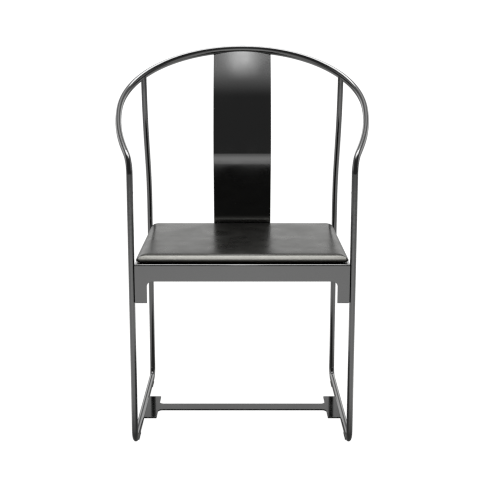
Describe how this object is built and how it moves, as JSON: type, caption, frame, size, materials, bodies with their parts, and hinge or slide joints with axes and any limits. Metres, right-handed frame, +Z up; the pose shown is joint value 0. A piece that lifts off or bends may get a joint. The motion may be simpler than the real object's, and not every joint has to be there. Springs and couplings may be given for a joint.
{
  "type": "horseshoe back armchair",
  "caption": "Armchair of oval steel tube: a sloping horseshoe rail runs into the front legs and floor runners, with a bent sheet splat, folded seat pan, flat stretcher and thin leather pad.",
  "frame": {"origin": "under the middle of the chair's box, on the floor", "axes": "+Z up, +Y to the back of the chair, +X to the sitter's left"},
  "size_m": [0.596, 0.4712, 0.9075],
  "materials": {
    "frame_paint": "gloss",
    "bare_steel": "machined",
    "fastener_steel": "black oxide",
    "glide_plastic": "matte",
    "cover_leather": "smooth satin",
    "pad_foam": "open cell foam",
    "board_wood": "plywood",
    "grip_rubber": "matte"
  },
  "bodies": {
    "frame": {"horseshoe_rail": "frame_paint", "left_leg_frame": "frame_paint", "right_leg_frame": "frame_paint", "left_spigot": "bare_steel", "right_spigot": "bare_steel", "spigot_screws": "fastener_steel", "front_left_glide": "glide_plastic", "front_right_glide": "glide_plastic", "back_left_glide": "glide_plastic", "back_right_glide": "glide_plastic", "back_splat": "frame_paint", "splat_screws": "fastener_steel", "splat_nuts": "fastener_steel", "seat_pan": "frame_paint", "left_side_apron": "frame_paint", "right_side_apron": "frame_paint", "seat_screws": "fastener_steel", "rivet_nuts": "fastener_steel", "lower_stretcher": "frame_paint"},
    "seat_pad": {"seat_cover": "cover_leather", "seat_foam": "pad_foam", "seat_board": "board_wood", "grip_pads": "grip_rubber"}
  },
  "joints": [
    {"name": "seat_pad_lift", "type": "slide", "parent": "frame", "child": "seat_pad", "axis": [0, -0.2079, 0.9781], "range_m": [0, 0.16]}
  ]
}
